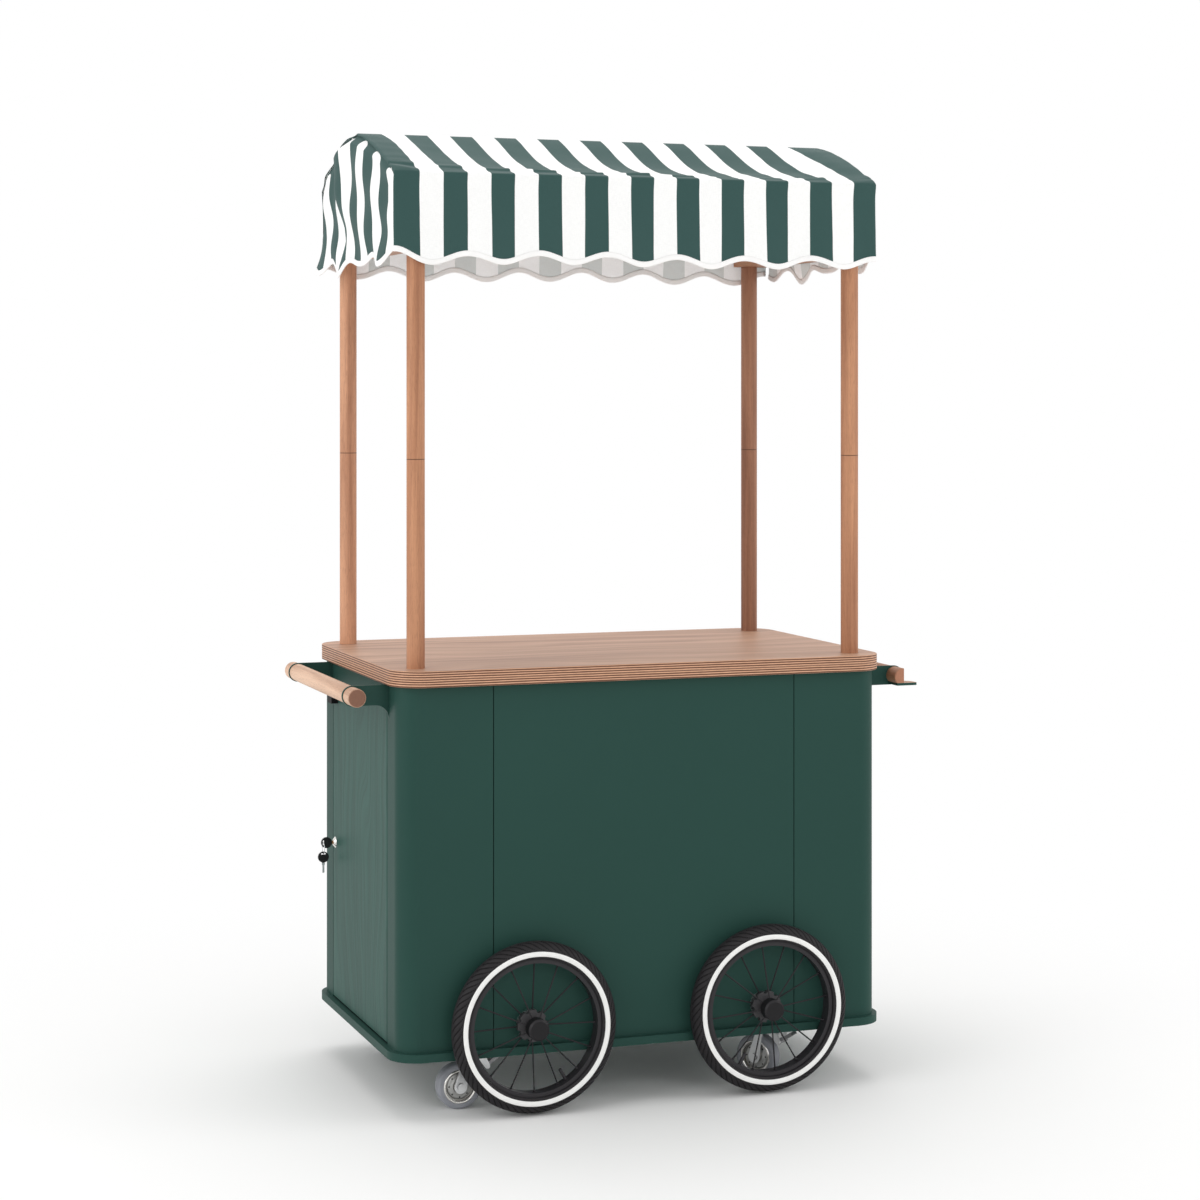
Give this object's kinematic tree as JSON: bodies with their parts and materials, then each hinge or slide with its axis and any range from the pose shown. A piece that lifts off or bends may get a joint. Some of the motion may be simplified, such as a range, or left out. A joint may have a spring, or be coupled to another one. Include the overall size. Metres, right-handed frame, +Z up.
{
  "type": "mobile event cart",
  "caption": "Wooden push cart with a rounded cabinet, side door, counter, round posts, striped fabric canopy, handle bars, spoked wheels and swivel casters.",
  "frame": {"origin": "on the floor under the middle of the whole cart", "axes": "+X to the right along the front, +Y to the rear, +Z up"},
  "size_m": [1.3589, 0.805, 2.16],
  "materials": {
    "green_ply": "satin green paint on plywood",
    "green_metal": "satin green paint",
    "counter_ply": "brown stain, satin varnish",
    "tongue_ply": "brown stain",
    "post_wood": "brown stain",
    "bar_wood": "clear oil",
    "frame_wood": "planed, untreated",
    "canopy_cloth": "green and white striped canvas",
    "wheel_tyre": "matt rubber with a white ring",
    "wheel_black": "satin black",
    "caster_tyre": "matt grey",
    "caster_core": "moulded",
    "zinc_steel": "zinc plated",
    "steel": "plain",
    "lock_chrome": "polished",
    "black_plastic": "moulded"
  },
  "bodies": {
    "cart": {"bar_tongue": "tongue_ply", "canopy_cover": "canopy_cloth", "caster_plates": "zinc_steel", "caster_screws": "zinc_steel", "counter_lower_board": "counter_ply", "counter_upper_board": "counter_ply", "door_head_rail": "green_ply", "door_pins": "steel", "front_left_column": "green_ply", "front_left_post": "post_wood", "front_panel": "green_ply", "front_right_column": "green_ply", "front_right_post": "post_wood", "left_end_flap": "canopy_cloth", "left_end_rail": "frame_wood", "left_gable_board": "frame_wood", "left_handle_arms": "green_metal", "left_handle_bar": "bar_wood", "plinth_board": "green_ply", "post_studs": "steel", "rear_left_column": "green_ply", "rear_left_post": "post_wood", "rear_panel": "green_ply", "rear_right_column": "green_ply", "rear_right_post": "post_wood", "right_end_flap": "canopy_cloth", "right_end_rail": "frame_wood", "right_gable_board": "frame_wood", "right_handle_arms": "green_metal", "right_handle_bar": "bar_wood", "right_side_panel": "green_ply", "roof_rails": "frame_wood", "seam_battens": "frame_wood", "wheel_axles": "steel"},
    "door": {"side_door": "green_ply", "door_lock": "lock_chrome", "door_pull": "black_plastic"},
    "key": {"lock_plug": "lock_chrome", "door_key": "black_plastic"},
    "spare": {"spare_key": "black_plastic"},
    "left_wheel": {"left_wheel_tyre": "wheel_tyre", "left_wheel_rim": "wheel_black", "left_wheel_hub": "wheel_black"},
    "right_wheel": {"right_wheel_tyre": "wheel_tyre", "right_wheel_rim": "wheel_black", "right_wheel_hub": "wheel_black"},
    "front_left_fork": {"front_left_caster_fork": "zinc_steel"},
    "front_left_roller": {"front_left_caster_tyre": "caster_tyre", "front_left_caster_core": "caster_core"},
    "front_left_pedal": {"front_left_brake_pedal": "zinc_steel"},
    "front_right_fork": {"front_right_caster_fork": "zinc_steel"},
    "front_right_roller": {"front_right_caster_tyre": "caster_tyre", "front_right_caster_core": "caster_core"},
    "front_right_pedal": {"front_right_brake_pedal": "zinc_steel"},
    "rear_left_fork": {"rear_left_caster_fork": "zinc_steel"},
    "rear_left_roller": {"rear_left_caster_tyre": "caster_tyre", "rear_left_caster_core": "caster_core"},
    "rear_right_fork": {"rear_right_caster_fork": "zinc_steel"},
    "rear_right_roller": {"rear_right_caster_tyre": "caster_tyre", "rear_right_caster_core": "caster_core"}
  },
  "joints": [
    {"name": "door_hinge", "type": "hinge", "parent": "cart", "child": "door", "pos_m": [-0.5655, -0.2109, 0.5], "axis": [0, 0, 1], "range_deg": [0, 90]},
    {"name": "key_turn", "type": "hinge", "parent": "door", "child": "key", "pos_m": [-0.5745, 0.257, 0.51], "axis": [1, 0, 0], "range_deg": [0, 90]},
    {"name": "spare_key_swing", "type": "hinge", "parent": "key", "child": "spare", "pos_m": [-0.6031, 0.257, 0.51], "axis": [0, 1, 0], "range_deg": [-15, 60]},
    {"name": "left_wheel_spin", "type": "hinge", "parent": "cart", "child": "left_wheel", "pos_m": [-0.2835, -0.3645, 0.191], "axis": [0, 1, 0], "continuous": true},
    {"name": "right_wheel_spin", "type": "hinge", "parent": "cart", "child": "right_wheel", "pos_m": [0.2685, -0.3645, 0.191], "axis": [0, 1, 0], "continuous": true},
    {"name": "front_left_swivel", "type": "hinge", "parent": "cart", "child": "front_left_fork", "pos_m": [-0.3885, -0.2545, 0.107], "axis": [0, 0, 1], "continuous": true},
    {"name": "front_left_roll", "type": "hinge", "parent": "front_left_fork", "child": "front_left_roller", "pos_m": [-0.4235, -0.2545, 0.05], "axis": [0, -1, 0], "continuous": true},
    {"name": "front_left_brake", "type": "hinge", "parent": "front_left_fork", "child": "front_left_pedal", "pos_m": [-0.3625, -0.2545, 0.0912], "axis": [0, 1, 0], "range_deg": [0, 20]},
    {"name": "front_right_swivel", "type": "hinge", "parent": "cart", "child": "front_right_fork", "pos_m": [0.3235, -0.2545, 0.107], "axis": [0, 0, 1], "continuous": true},
    {"name": "front_right_roll", "type": "hinge", "parent": "front_right_fork", "child": "front_right_roller", "pos_m": [0.30147, -0.2273, 0.05], "axis": [-0.7771, -0.6293, 0], "continuous": true},
    {"name": "front_right_brake", "type": "hinge", "parent": "front_right_fork", "child": "front_right_pedal", "pos_m": [0.33986, -0.27471, 0.0912], "axis": [0.7771, 0.6293, 0], "range_deg": [0, 20]},
    {"name": "rear_left_swivel", "type": "hinge", "parent": "cart", "child": "rear_left_fork", "pos_m": [-0.3885, 0.3115, 0.107], "axis": [0, 0, 1], "continuous": true},
    {"name": "rear_left_roll", "type": "hinge", "parent": "rear_left_fork", "child": "rear_left_roller", "pos_m": [-0.42022, 0.29671, 0.05], "axis": [0.4226, -0.9063, 0], "continuous": true},
    {"name": "rear_right_swivel", "type": "hinge", "parent": "cart", "child": "rear_right_fork", "pos_m": [0.3235, 0.3115, 0.107], "axis": [0, 0, 1], "continuous": true},
    {"name": "rear_right_roll", "type": "hinge", "parent": "rear_right_fork", "child": "rear_right_roller", "pos_m": [0.35639, 0.32347, 0.05], "axis": [-0.342, 0.9397, 0], "continuous": true}
  ]
}
